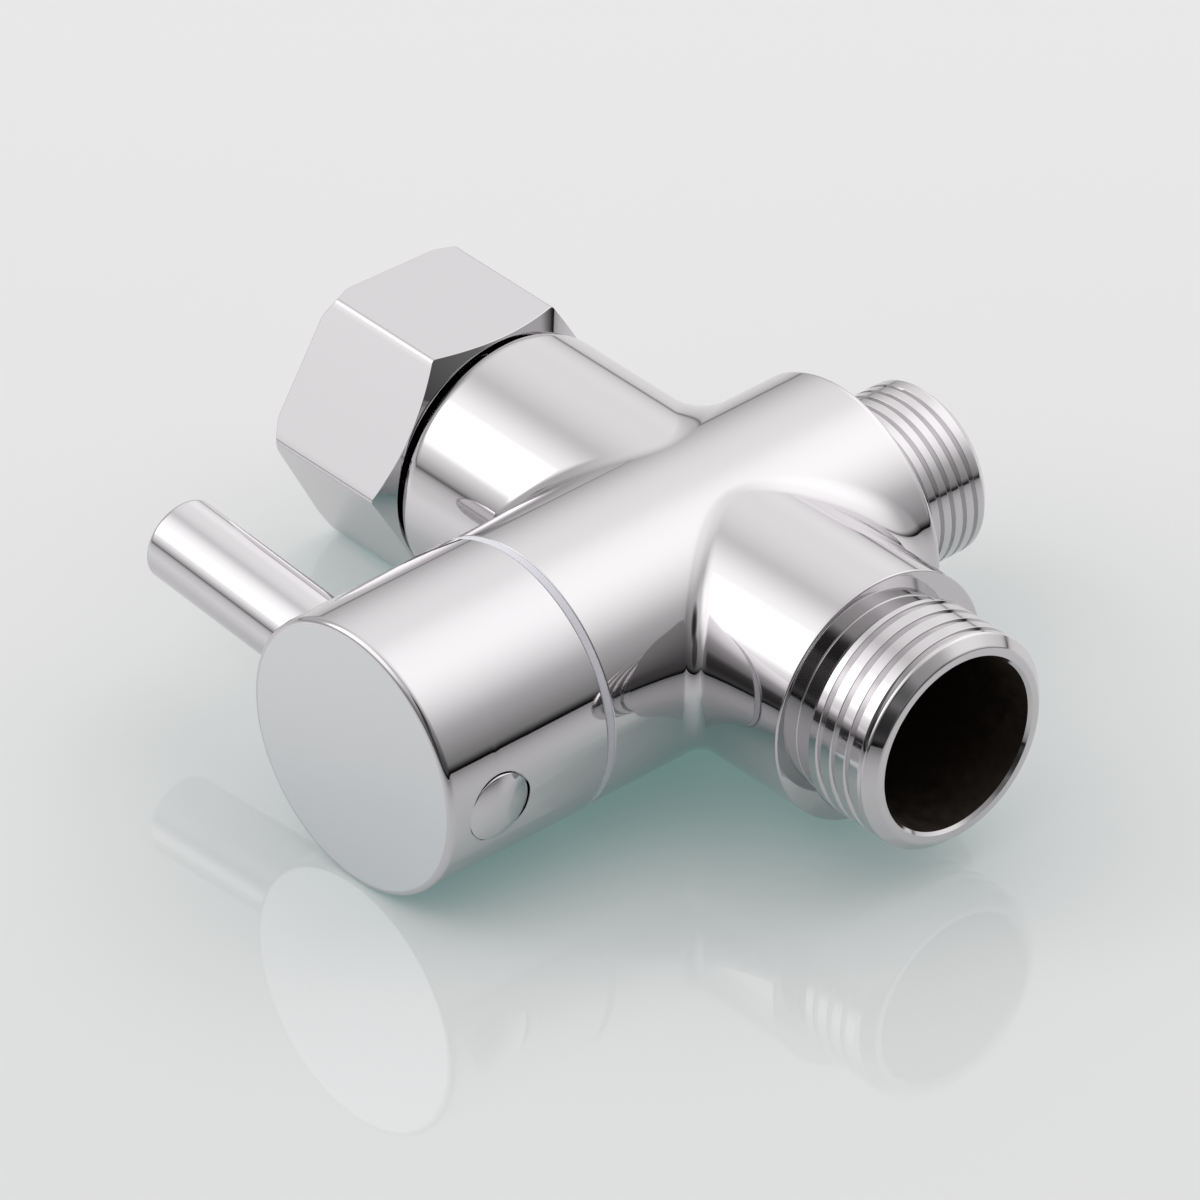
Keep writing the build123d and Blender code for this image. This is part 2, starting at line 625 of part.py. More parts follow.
# Dished strainer, pressed from perforated sheet
with BuildPart() as inlet_strainer:
    rim_back = washer_face - strainer_thickness
    dish_floor = rim_back - strainer_dish
    turn(Plane.XY, Axis.Y, (0, dish_floor), (strainer_floor_r, dish_floor),
         (strainer_dish_r, rim_back), (strainer_rim_r, rim_back), (strainer_rim_r, washer_face),
         (strainer_dish_r - strainer_thickness, washer_face),
         (strainer_floor_r - strainer_thickness, dish_floor + strainer_thickness),
         (0, dish_floor + strainer_thickness))
    with BuildSketch(Plane.XZ.offset(-dish_floor)) as holes:
        for ring in range(strainer_rings + 1):
            for side in range(6 if ring else 1):
                for step in range(max(ring, 1)):
                    start = Vector(ring * strainer_pitch, 0).rotate(Axis.Z, 60 * side)
                    along = Vector(strainer_pitch, 0).rotate(Axis.Z, 60 * side + 120)
                    with Locations(start + along * step):
                        RegularPolygon(strainer_hole_r, 6)
    extrude(holes.sketch, amount=strainer_thickness, both=True, mode=Mode.SUBTRACT)
inlet_strainer.part.label = "inlet_strainer"

pieces = [valve_body, port_liner, disc_gasket, fixed_disc, moving_disc, valve_core, thrust_washer,
          gland_nut, stop_ring, knob, lever, set_screw, screw_cap, union_nut, retaining_ring,
          inlet_washer, inlet_strainer]
os.makedirs("parts", exist_ok=True)
for piece in [built.part for built in pieces] + sealing_rings:
    export_step(piece, f"parts/{piece.label}.step")
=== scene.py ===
import bmesh
import bpy
import numpy as np
from mathutils import Matrix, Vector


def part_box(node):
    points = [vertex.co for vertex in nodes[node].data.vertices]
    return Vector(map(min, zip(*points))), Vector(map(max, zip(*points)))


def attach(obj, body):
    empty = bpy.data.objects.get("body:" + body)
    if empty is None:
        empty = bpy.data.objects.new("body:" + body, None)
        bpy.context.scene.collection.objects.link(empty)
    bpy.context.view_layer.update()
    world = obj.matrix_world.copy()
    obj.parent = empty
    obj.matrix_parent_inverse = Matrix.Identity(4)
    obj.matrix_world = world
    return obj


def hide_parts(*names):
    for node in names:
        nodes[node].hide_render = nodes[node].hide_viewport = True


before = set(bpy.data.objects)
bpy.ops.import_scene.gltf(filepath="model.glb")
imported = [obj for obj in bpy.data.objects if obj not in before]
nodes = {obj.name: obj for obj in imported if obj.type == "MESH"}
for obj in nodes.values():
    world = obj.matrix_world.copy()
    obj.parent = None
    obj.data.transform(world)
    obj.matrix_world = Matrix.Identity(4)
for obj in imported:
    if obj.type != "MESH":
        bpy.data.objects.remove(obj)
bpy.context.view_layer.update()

# Camera: a long lens from the front left and above, as far off as the photograph's was, so that
# the arms hardly taper. Its right, up and backward directions are the matrix's columns.
EYE = np.array((-0.868194, -1.020585, 0.913059))
FORWARD = np.array((0.538147, 0.619507, -0.571497))
RIGHT = np.array((0.750282, -0.661042, -0.010075))
lens = bpy.data.cameras.new("long_lens")
lens.sensor_width = 36.0
lens.lens = 543.7
lens.clip_end = 20.0
camera = bpy.data.objects.new("camera", lens)
bpy.context.scene.collection.objects.link(camera)
columns = np.column_stack((RIGHT, np.cross(RIGHT, FORWARD), -FORWARD, EYE))
camera.matrix_world = Matrix(np.vstack((columns, (0, 0, 0, 1))).tolist())
bpy.context.scene.camera = camera
bpy.context.scene.view_settings.view_transform = "Standard"


# Floor: a sheet of glossy off-white acrylic. The light that such a sheet lets through is painted
# light
# here: the floor glows faintly greenish, so that shadows on it stay pale and greenish. Its colour
# is also painted darker in front of the valve than behind it, as painted shade. It tilts by one
# degree, because the valve lies on its round knob and on a lower corner of its swivel nut, and its
# front edge is just out of the picture.
def place(tree, kind, inputs=None, **settings):
    """Add a shader node. Each input is a value, or another node's output to link from."""
    made = tree.nodes.new(kind)
    for name, value in settings.items():
        setattr(made, name, value)
    for name, value in (inputs or {}).items():
        if isinstance(value, bpy.types.NodeSocket):
            tree.links.new(value, made.inputs[name])
        else:
            made.inputs[name].default_value = value
    return made


def surface_of(material):
    """Empty a new material and return its tree and its Principled shader."""
    material.use_nodes = True
    tree = material.node_tree
    tree.nodes.clear()
    shader = place(tree, "ShaderNodeBsdfPrincipled")
    place(tree, "ShaderNodeOutputMaterial", {"Surface": shader.outputs[0]})
    return tree, shader


def object_point(tree):
    """The point's place on the object, in metres."""
    return place(tree, "ShaderNodeTexCoord").outputs["Object"]


KNOB_R = 13.2
FLOOR_TILT = np.radians(1.0)
FLOOR_LINES = 9
valve_y = (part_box("knob")[0].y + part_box("knob")[1].y) / 2
floor_x, floor_y = np.meshgrid(np.linspace(-1.6, 1.6, FLOOR_LINES),
                               np.linspace(-0.32, 2.2, FLOOR_LINES))
floor_z = -KNOB_R / 1000 / np.cos(FLOOR_TILT) + (floor_y - valve_y) * np.tan(FLOOR_TILT)
floor_points = np.stack((floor_x, floor_y, floor_z), -1).reshape(-1, 3)
corner = np.arange(FLOOR_LINES - 1)
corner = (corner[:, None] * FLOOR_LINES + corner).reshape(-1, 1)
floor_mesh = bpy.data.meshes.new("floor")
floor_mesh.from_pydata(floor_points.tolist(), [],
                       (corner + (0, 1, FLOOR_LINES + 1, FLOOR_LINES)).tolist())
floor = bpy.data.objects.new("floor", floor_mesh)
bpy.context.scene.collection.objects.link(floor)

# painted shade: the floor's colour is darker in front of the valve than behind it, where the light
# falls off towards the camera
AWAY = (0.66, 0.75, 0)
FRONT_PAINTED_SHADE_TINT, BACK_UNSHADED_TINT = (0.660, 0.572, 0.590, 1), (0.745, 0.645, 0.666, 1)
acrylic = bpy.data.materials.new("off_white_acrylic_painted_light")
tree, shader = surface_of(acrylic)
further = place(tree, "ShaderNodeVectorMath", {0: object_point(tree), 1: AWAY},
                operation="DOT_PRODUCT").outputs["Value"]
# painted shade mask: 0 in front of the valve, 1 behind it
painted_falloff = place(tree, "ShaderNodeMapRange", {0: further, 1: -0.12, 2: 0.08})
painted_shade_tint = place(tree, "ShaderNodeMix", {0: painted_falloff.outputs[0], 6: FRONT_PAINTED_SHADE_TINT, 7: BACK_UNSHADED_TINT},
             data_type="RGBA")
tree.links.new(painted_shade_tint.outputs[2], shader.inputs["Base Color"])
shader.inputs["Roughness"].default_value = 0.9
shader.inputs["Specular IOR Level"].default_value = 0.0
shader.inputs["Coat Weight"].default_value = 1.0
shader.inputs["Coat Roughness"].default_value = 0.02
shader.inputs["Coat IOR"].default_value = 1.45
# painted light: a faint greenish glow that lightens and tints the floor's shadows; the base colours
# are reddish so that the lit floor adds up to off-white
shader.inputs["Emission Color"].default_value = (0.53, 1.0, 0.92, 1)
shader.inputs["Emission Strength"].default_value = 0.183
floor_mesh.materials.append(acrylic)


# Light: a plain studio with a soft box at each side, a paler wall behind and a ceiling. The room
# is dark on the camera's side. Below the table's edge it is black, which draws the dark lines
# along the chrome, and further down the table's underside shows dimly.
def direction(azimuth, elevation):
    """Unit vector, with azimuth 0 towards -Y and 90 towards +X, and elevation up, in degrees."""
    azimuth, elevation = np.radians((azimuth, elevation))
    flat = np.cos(elevation)
    return (np.sin(azimuth) * flat, -np.cos(azimuth) * flat, np.sin(elevation))


world = bpy.data.worlds.new("studio")
bpy.context.scene.world = world
world.use_nodes = True
tree = world.node_tree
tree.nodes.clear()
looking = place(tree, "ShaderNodeTexCoord").outputs["Generated"]
height = place(tree, "ShaderNodeSeparateXYZ", {0: looking}).outputs[2]


def patch(towards, full, faded, outside, inside):
    """A round patch of the room: its inside value as far as one angle from its middle, its
    outside value beyond another, and a smooth step between, on the cosine of the angle."""
    near = place(tree, "ShaderNodeVectorMath", {0: looking, 1: direction(*towards)},
                 operation="DOT_PRODUCT").outputs["Value"]
    return place(tree, "ShaderNodeMapRange",
                 {0: near, 1: np.cos(np.radians(faded)), 2: np.cos(np.radians(full)),
                  3: outside, 4: inside}, interpolation_type="SMOOTHSTEP").outputs[0]


# the room's own light, then the soft boxes and pale walls, then two dark gaps between them
light = 0.07
for towards, full, faded, strength in (((80, 12), 38, 55, 0.33), ((-127, 40), 1, 41, 0.96),
                                       ((107, 47), 1, 60, 0.59), ((165, 60), 45, 120, 0.52),
                                       ((-75, 55), 1, 28, 0.25), ((63, 53), 20, 39, 0.11),
                                       ((-142, 28), 4, 18, 1.1)):
    glow = patch(towards, full, faded, 0.0, strength)
    light = place(tree, "ShaderNodeMath", {0: light, 1: glow}, operation="ADD").outputs[0]
for towards, full, faded, kept in (((-31, 44), 4, 20, 0.08), ((-46, 20), 11, 19, 0.30)):
    gap = patch(towards, full, faded, 1.0, kept)
    light = place(tree, "ShaderNodeMath", {0: light, 1: gap}, operation="MULTIPLY").outputs[0]
above = place(tree, "ShaderNodeMapRange", {0: height, 1: -0.04, 2: 0.07},
              interpolation_type="SMOOTHSTEP")
below = place(tree, "ShaderNodeMapRange", {0: height, 1: -0.045, 2: -0.055, 4: 0.35})
light = place(tree, "ShaderNodeMath", {0: light, 1: above.outputs[0], 2: below.outputs[0]},
              operation="MULTIPLY_ADD").outputs[0]
seen = place(tree, "ShaderNodeLightPath").outputs["Is Camera Ray"]
studio = place(tree, "ShaderNodeMix", {0: seen, 6: light, 7: (0.80, 0.80, 0.80, 1)},
               data_type="RGBA").outputs[2]
sky = place(tree, "ShaderNodeBackground", {"Color": studio, "Strength": 1.0})
place(tree, "ShaderNodeOutputWorld", {"Surface": sky.outputs[0]})


# Valve body: one brass casting, turned, polished and chrome plated outside. Its barrel carries
# two arms on soft blends, and the arms and the barrel's rear end carry the spigot and threads.
# All sizes are millimetres from the point where the axes cross.
CENTRE = np.array((0, valve_y * 1000, 0))
BARREL = (CENTRE, (1, 0, 0), (0, 1, 0), (0, 0, 1))
INLET = (CENTRE, (0, 1, 0), (1, 0, 0), (0, 0, 1))
FRONT = (CENTRE, (0, -1, 0), (1, 0, 0), (0, 0, 1))


def around(axis, along, radius, turn):
    """Points at a distance along an axis and a radius from it: the axis's centre, plus along
    times its direction, plus the radius times the cosine of the turn times its first side
    direction, plus the radius times the sine of the turn times its second."""
    centre, ahead, first, second = (np.asarray(part, float) for part in axis)
    along, radius, turn = np.broadcast_arrays(along, radius, turn)
    return (centre + along[..., None] * ahead + (radius * np.cos(turn))[..., None] * first
            + (radius * np.sin(turn))[..., None] * second)


def softened(outline, radii, steps=6):
    """Round an outline's inner corners, one radius each, with exact circle arcs: quadratic curves
    whose middle point weighs the sine of half the corner's angle. A point just before and after
    each arc keeps the straight parts flat when they are shaded smooth."""
    outline = np.asarray(outline, float)
    rows = [outline[..., :1, :]]
    share = np.linspace(0, 1, steps + 1)[:, None]
    for at, radius in enumerate(radii, 1):
        middle = outline[..., at, :]
        if not radius:
            rows.append(middle[..., None, :])
            continue
        back = outline[..., at - 1, :] - middle
        onward = outline[..., at + 1, :] - middle
        back = back / np.linalg.norm(back, axis=-1, keepdims=True)
        onward = onward / np.linalg.norm(onward, axis=-1, keepdims=True)
        half = np.arccos((back * onward).sum(-1, keepdims=True)) / 2
        reach = radius / np.tan(half)
        weights = ((1 - share) ** 2, 2 * np.sin(half)[..., None, :] * share * (1 - share),
                   share ** 2)
        corners = ((middle + back * reach)[..., None, :], middle[..., None, :],
                   (middle + onward * reach)[..., None, :])
        arc = sum(weight * point for weight, point in zip(weights, corners)) / sum(weights)
        rows += [(middle + 1.25 * back * reach)[..., None, :], arc,
                 (middle + 1.25 * onward * reach)[..., None, :]]
    rows.append(outline[..., -1:, :])
    return np.concatenate(rows, axis=-2)


def turned(axis, outline, ring):
    """Carry an outline of (along, radius) points round an axis, through the ring's angles. There
    may be one outline for the whole ring or one for each angle."""
    outline = np.asarray(outline, float)
    outline = outline.reshape(-1, *outline.shape[-2:])
    return around(axis, outline[..., 0].T, outline[..., 1].T, ring)


def hole_ring(first_hole, second_hole, turn, arc_steps, strip_steps):
    """Where grid lines round a tube leave its two round holes, the second opposite the first.

    A hole is (its middle along the tube, its radius, the radius at which that is measured), and
    both radii may be one number or differ from line to line. A line at an angle across a hole
    leaves it at the radius times the cosine along the tube, and turned round the tube by the arc
    sine of the radius times the sine over the tube's radius. The lines go over the first hole,
    the strip between, the second hole and the other strip. Returns each line's middle place
    along the tube, the hole's half width there, and its angle.
    """
    side = np.linspace(-np.pi / 2, np.pi / 2, arc_steps + 1)
    (first_at, first_r, first_far), (second_at, second_r, second_far) = first_hole, second_hole
    first_angle = np.arcsin(first_r * np.sin(side) / first_far)
    second_angle = np.pi + np.arcsin(second_r * np.sin(side) / second_far)
    share = np.linspace(0, 1, strip_steps + 1)[1:-1]
    over = first_angle[-1] + share * (second_angle[0] - first_angle[-1])
    under = second_angle[-1] + share * (2 * np.pi + first_angle[0] - second_angle[-1])
    no_hole = np.zeros_like(share)
    middles = np.concatenate((np.full_like(side, first_at),
                              first_at + share * (second_at - first_at),
                              np.full_like(side, second_at),
                              second_at + share * (first_at - second_at)))
    halves = np.concatenate((first_r * np.cos(side), no_hole, second_r * np.cos(side), no_hole))
    return middles, halves, turn + np.concatenate((first_angle, over, second_angle, under))


def even_ring(arc_steps, strip_steps, turn=0.0):
    """The same number of grid lines, evenly spaced, with the holes' middles where they were."""
    count = 2 * (arc_steps + strip_steps)
    return turn + 2 * np.pi * (np.arange(count) - arc_steps / 2) / count


def tube(radius, holes, end, end_ring, side, steps):
    """One half of a pierced tube, from its holes' edges to a square end. Both the place along the
    tube and the angle round it change evenly from their values at the holes to those at the
    end, so the grid lines slant on the tube."""
    middles, halves, angles = holes
    share = np.linspace(0, 1, steps + 1)[:, None]
    along = (middles + side * halves) * (1 - share) + end * share
    return around(BARREL, along, radius, angles * (1 - share) + end_ring * share)


def blend_radius(radii, angle):
    """An arm's blend radius at an angle round the arm: the smoothest wave that passes through
    eight evenly spaced values, the sum of its sines and cosines."""
    waves = np.fft.rfft(radii) / len(radii) * (1, 2, 2, 2, 1)
    return (waves[:, None] * np.exp(1j * np.arange(5)[:, None] * angle)).sum(0).real


def thread(axis, turns, start, end, crest_r, depth, pitch, crest, phase=0.0, hand=1, angle=55):
    """Grid of a thread between two places along an axis. One pitch of outline, with a flat crest,
    straight flanks and a narrow root, is laid end to end, and slides along by a pitch in each
    turn. Grooves run out over half a millimetre at both ends. A depth below zero cuts outwards."""
    turns = np.append(turns, turns[0] + 2 * np.pi)
    flank = abs(depth) * np.tan(np.radians(angle / 2))
    cut = softened(((0, 0), (crest / 2, 0), (crest / 2 + flank, depth),
                    (pitch - crest / 2 - flank, depth), (pitch - crest / 2, 0), (pitch, 0)),
                   (0.05, 0, 0, 0.05), 2)[:-1]
    pitches = np.arange(np.floor((start - phase) / pitch) - 1, np.ceil((end - phase) / pitch) + 2)
    rows = (pitches[:, None] * pitch + cut[:, 0]).reshape(-1, 1) + phase
    along = np.clip(rows + hand * pitch * turns / (2 * np.pi), start, end)
    run_out = np.clip((along - start) / 0.5, 0, 1) * np.clip((end - along) / 0.5, 0, 1)
    return around(axis, along, crest_r - np.tile(cut[:, 1], len(pitches))[:, None] * run_out, turns)


def made_piece(name, patches, materials, body, slot, *replaced):
    """Join grids of points into one closed mesh that rides on its body in the CAD nodes' place.

    A patch is (grid in millimetres, material number, whether its last column meets its first).
    Points that meet are merged, faces are turned outwards, and the mesh is shaded smooth up to
    its sharp edges.
    """
    points, faces, kinds, count = [], [], [], 0
    for grid, kind, round_about in patches:
        rows, cols = grid.shape[:2]
        index = count + np.arange(rows * cols).reshape(rows, cols)
        if round_about:
            index = np.hstack((index, index[:, :1]))
        quads = np.stack((index[:-1, :-1], index[1:, :-1], index[1:, 1:], index[:-1, 1:]), -1)
        points.append(grid.reshape(-1, 3) / 1000)
        faces.append(quads.reshape(-1, 4))
        kinds.append(np.full(faces[-1].shape[0], kind))
        count += rows * cols
    mesh = bpy.data.meshes.new(name)
    mesh.from_pydata(np.concatenate(points).tolist(), [], np.concatenate(faces).tolist())
    mesh.polygons.foreach_set("material_index", np.concatenate(kinds))
    for material in materials:
        mesh.materials.append(material)
    shape = bmesh.new()
    shape.from_mesh(mesh)
    bmesh.ops.remove_doubles(shape, verts=shape.verts, dist=2e-6)
    bmesh.ops.dissolve_degenerate(shape, edges=shape.edges, dist=1e-7)
    bmesh.ops.recalc_face_normals(shape, faces=shape.faces)
    shape.to_mesh(mesh)
    shape.free()
    mesh.shade_smooth()
    mesh.set_sharp_from_angle(angle=np.radians(32))
    piece = bpy.data.objects.new(name, mesh)
    bpy.context.scene.collection.objects.link(piece)
    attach(piece, body)
    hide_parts(*replaced)


def polish_wear():
    """Node group: faint cloudiness and scattered pin marks of handled plating. It gives a
    roughness between two values, and a normal with the marks' dents."""
    group = bpy.data.node_groups.new("polish_wear", "ShaderNodeTree")
    for name, kind in (("Point", "NodeSocketVector"), ("Smooth", "NodeSocketFloat"),
                       ("Cloudy", "NodeSocketFloat"), ("Grain", "NodeSocketFloat"),
                       ("Dents", "NodeSocketFloat"), ("Depth", "NodeSocketFloat")):
        group.interface.new_socket(name, in_out="INPUT", socket_type=kind)
    group.interface.new_socket("Roughness", in_out="OUTPUT", socket_type="NodeSocketFloat")
    group.interface.new_socket("Normal", in_out="OUTPUT", socket_type="NodeSocketVector")
    given = group.nodes.new("NodeGroupInput").outputs
    cloud = place(group, "ShaderNodeTexNoise", {"Vector": given["Point"], "Scale": given["Grain"],
                                                "Detail": 4.0})
    rough = place(group, "ShaderNodeMapRange", {0: cloud.outputs[0], 1: 0.3, 2: 0.75,
                                                3: given["Smooth"], 4: given["Cloudy"]})
    pits = place(group, "ShaderNodeTexNoise", {"Vector": given["Point"], "Scale": given["Dents"],
                                               "Detail": 2.0})
    hits = place(group, "ShaderNodeMapRange", {0: pits.outputs[0], 1: 0.20, 2: 0.32})
    bump = place(group, "ShaderNodeBump", {"Height": hits.outputs[0], "Distance": given["Depth"],
                                           "Strength": 1.0})
    out = group.nodes.new("NodeGroupOutput")
    group.links.new(rough.outputs[0], out.inputs["Roughness"])
    group.links.new(bump.outputs[0], out.inputs["Normal"])
    return group


WEAR = polish_wear()


def metal(name, colour, smooth, cloudy, grain, dents, depth):
    """A bare or plated metal with polish wear. Grain and dents are counted per metre."""
    material = bpy.data.materials.new(name)
    tree, shader = surface_of(material)
    wear = place(tree, "ShaderNodeGroup", node_tree=WEAR)
    tree.links.new(object_point(tree), wear.inputs["Point"])
    for socket, value in (("Smooth", smooth), ("Cloudy", cloudy), ("Grain", grain),
                          ("Dents", dents), ("Depth", depth)):
        wear.inputs[socket].default_value = value
    tree.links.new(wear.outputs["Roughness"], shader.inputs["Roughness"])
    tree.links.new(wear.outputs["Normal"], shader.inputs["Normal"])
    shader.inputs["Base Color"].default_value = (*colour, 1)
    shader.inputs["Metallic"].default_value = 1.0
    return material


chrome = metal("chrome_plate", (0.634, 0.614, 0.628), 0.02, 0.045, 260, 900, 0.0)
turned_chrome = metal("plated_turning", (0.612, 0.594, 0.606), 0.04, 0.11, 1500, 1600, 0.000001)
# painted shade: the bores are bare brass, coloured nearly black, far darker than brass, for the
# shade deep inside them
bore_painted_shade = metal("bare_bore_painted_shade", (0.16, 0.13, 0.11), 0.45, 0.6, 800, 900, 0.00002)
PLATED, TURNED, BORED = 0, 1, 2

ARC, STRIP = 120, 30
BARREL_R, INLET_R, FRONT_R = 13.1, 12.5, 12.1
CORE_R, PORT_R, REAR_BORE_R = 10.2, 3.9, 6.2
# the blends' radii, at every eighth of a turn round their arm
INLET_BLEND = (3.7, 5.1, 4.5, 2.9, 2.2, 2.6, 4.2, 5.1)
FRONT_BLEND = (4.0, 5.2, 4.2, 2.1, 1.5, 2.0, 4.2, 5.2)
# where the barrel's and the arms' plain parts end and their turned outlines start
BARREL_FROM, BARREL_TO, INLET_TO, FRONT_TO = -21.0, 16.4, 24.6, 23.4
# pitches of the half inch and the three eighths pipe thread
HALF_INCH, THREE_EIGHTHS = 1.814, 1.337
arm_ring = np.linspace(-np.pi / 2, 1.5 * np.pi, 2 * ARC, endpoint=False)
ring = even_ring(ARC, STRIP)
body = []

# barrel outside, between the blends and the ends
lines = np.linspace(-np.pi / 2, np.pi / 2, ARC + 1)
for way, barrel_end, steps, inlet_side, front_side in (
        (1, BARREL_TO, 9, lines, -lines), (-1, BARREL_FROM, 14, np.pi - lines, np.pi + lines)):
    inlet_blend = blend_radius(INLET_BLEND, inlet_side)
    front_blend = blend_radius(FRONT_BLEND, front_side)
    outside = hole_ring((0, INLET_R + inlet_blend, BARREL_R + inlet_blend),
                        (0, FRONT_R + front_blend, BARREL_R + front_blend), 0, ARC, STRIP)
    body.append((tube(BARREL_R, outside, barrel_end, ring, way, steps), PLATED, True))

# blends: the track of a ball that rolls round each arm, swells and shrinks, and always touches
# the barrel and the arm. Each ends in the arm's straight part.
share = np.linspace(0, 1, 17)[:, None, None]
for axis, arm_r, way, arm_end, radii in ((INLET, INLET_R, 1, INLET_TO, INLET_BLEND),
                                         (FRONT, FRONT_R, -1, FRONT_TO, FRONT_BLEND)):
    blend = blend_radius(radii, arm_ring)
    out = arm_r + blend
    off = np.sqrt((BARREL_R + blend) ** 2 - (out * np.sin(arm_ring)) ** 2)
    middle = np.stack((out * np.cos(arm_ring), way * off, out * np.sin(arm_ring)), -1)
    to_barrel = -middle * (0, 1, 1) / (BARREL_R + blend)[:, None]
    to_arm = -np.stack((np.cos(arm_ring), np.zeros_like(arm_ring), np.sin(arm_ring)), -1)
    between = np.arccos((to_barrel * to_arm).sum(-1))[:, None]
    ball = np.sin((1 - share) * between) * to_barrel + np.sin(share * between) * to_arm
    ball = ball / np.sin(between)
    body.append((CENTRE + middle + blend[:, None] * ball, PLATED, True))
    straight = np.stack((off, np.full_like(off, arm_end)))
    body.append((around(axis, straight, arm_r, arm_ring), PLATED, True))

# inlet arm's end, spigot with the split ring's groove, bore, and port into the core's bore
INLET_FLOOR, FRONT_FLOOR, BORE_ROWS = 11.2, 12.12, 7
spigot = softened(((INLET_TO, INLET_R), (26.2, INLET_R), (26.2, 8.0), (29.7, 8.0), (29.7, 7.5),
                   (30.8, 7.5), (30.8, 8.0), (32.4, 8.0), (32.4, 5.6), (INLET_FLOOR, 5.6),
                   (INLET_FLOOR, PORT_R)),
                  (1.2, 0.1, 0.05, 0.05, 0.05, 0.05, 0.3, 0.1, 0.1), 3)
body.append((turned(INLET, spigot[:-BORE_ROWS], arm_ring), PLATED, True))
body.append((turned(INLET, spigot[-BORE_ROWS - 1:], arm_ring), BORED, True))
port_end = np.sqrt(CORE_R ** 2 - (PORT_R * np.sin(arm_ring)) ** 2)
for axis, port_start in ((INLET, INLET_FLOOR), (FRONT, FRONT_FLOOR)):
    port = np.stack((np.full_like(port_end, port_start), port_end))
    body.append((around(axis, port, PORT_R, arm_ring), BORED, True))

# front arm's shoulder, relief groove, thread, rim and drilled bore
FRONT_THREAD_R, FRONT_THREAD_FROM, FRONT_THREAD_TO = 10.48, 26.18, 32.95
FRONT_BORE_R, FRONT_MOUTH = 8.44, 33.85
shoulder = softened(((FRONT_TO, FRONT_R), (23.8, FRONT_R), (23.8, 9.7), (25.4, 9.7),
                     (FRONT_THREAD_FROM, FRONT_THREAD_R)), (0.15, 0.12, 0.1), 3)
body.append((turned(FRONT, shoulder, arm_ring), TURNED, True))
body.append((thread(FRONT, arm_ring, FRONT_THREAD_FROM, FRONT_THREAD_TO, FRONT_THREAD_R, 0.6,
                    HALF_INCH, 1.15, 0.241), TURNED, False))
rim = softened(((FRONT_THREAD_TO, FRONT_THREAD_R), (33.15, FRONT_THREAD_R), (34.15, 9.48),
                (34.15, 8.74), (FRONT_MOUTH, FRONT_BORE_R)), (0.35, 0.4, 0.05), 4)
body.append((turned(FRONT, rim, arm_ring), TURNED, True))
drilled = softened(((FRONT_MOUTH, FRONT_BORE_R), (14.85, FRONT_BORE_R), (FRONT_FLOOR, PORT_R)),
                   (0.1,))
body.append((turned(FRONT, drilled, arm_ring), BORED, True))

# barrel's rear end, relief groove, thread and rim
REAR_THREAD_R, REAR_THREAD_FROM, REAR_THREAD_TO, REAR_MOUTH = 8.33, 19.2, 26.4, 27.3
rear = softened(((BARREL_TO, BARREL_R), (17.2, BARREL_R), (17.2, 7.73), (18.6, 7.73),
                 (REAR_THREAD_FROM, REAR_THREAD_R)), (0.6, 0.1, 0.1), 4)
body.append((turned(BARREL, rear, ring), PLATED, True))
body.append((thread(BARREL, ring, REAR_THREAD_FROM, REAR_THREAD_TO, REAR_THREAD_R, 0.45,
                    THREE_EIGHTHS, 0.85, 0.19), TURNED, False))
rim = softened(((REAR_THREAD_TO, REAR_THREAD_R), (26.6, REAR_THREAD_R), (27.6, 7.33), (27.6, 6.5),
                (REAR_MOUTH, REAR_BORE_R)), (0.35, 0.4, 0.05), 4)
body.append((turned(BARREL, rim, ring), TURNED, True))

# rear bore and its seat wall, with the port through it, which is off centre and so cuts the
# bore's circle. Grid lines are shared out so that two of them meet where the circles cross.
SEAT, SEAT_INSIDE, DISC_PORT_R, PORT_OFF = 14.5, 12.5, 3.7, 4.6
COUNT, CROSS, RECROSS = 2 * (ARC + STRIP), 180, 240


def crossing(near_r, far_r):
    """Half the angle that the chord through the crossings takes on one circle, by the law of
    cosines on the two radii and the distance between the middles."""
    return np.arccos((PORT_OFF ** 2 + near_r ** 2 - far_r ** 2) / (2 * PORT_OFF * near_r))


line = np.arange(COUNT)
line = np.where(line > RECROSS, line - COUNT, line)
marks = (RECROSS - COUNT, CROSS, RECROSS)
bore_half = crossing(REAR_BORE_R, DISC_PORT_R)
port_half = np.pi - crossing(DISC_PORT_R, REAR_BORE_R)
bore_ring, port_ring = (np.interp(line, marks, (half - np.pi, np.pi - half, np.pi + half))
                        for half in (bore_half, port_half))
share = np.linspace(0, 1, 6)[:, None]
unwound = np.where(line < 0, ring - 2 * np.pi, ring)
body.append((around(BARREL, REAR_MOUTH * (1 - share) + SEAT * share, REAR_BORE_R,
                    unwound * (1 - share) + bore_ring * share), BORED, True))
port_axis = (CENTRE - (0, PORT_OFF, 0), *BARREL[1:])
bore_circle = around(BARREL, SEAT, REAR_BORE_R, bore_ring)
port_circle = around(port_axis, SEAT, DISC_PORT_R, port_ring)
for lines in (np.arange(CROSS, RECROSS + 1), np.arange(RECROSS, CROSS + COUNT + 1) % COUNT):
    body.append((np.stack((bore_circle[lines], port_circle[lines])), BORED, False))
port_inside = around(port_axis, SEAT_INSIDE, DISC_PORT_R, port_ring)
body.append((np.stack((port_circle, port_inside)), BORED, True))
body.append((np.stack((port_inside, around(BARREL, SEAT_INSIDE, CORE_R, ring))), BORED, True))

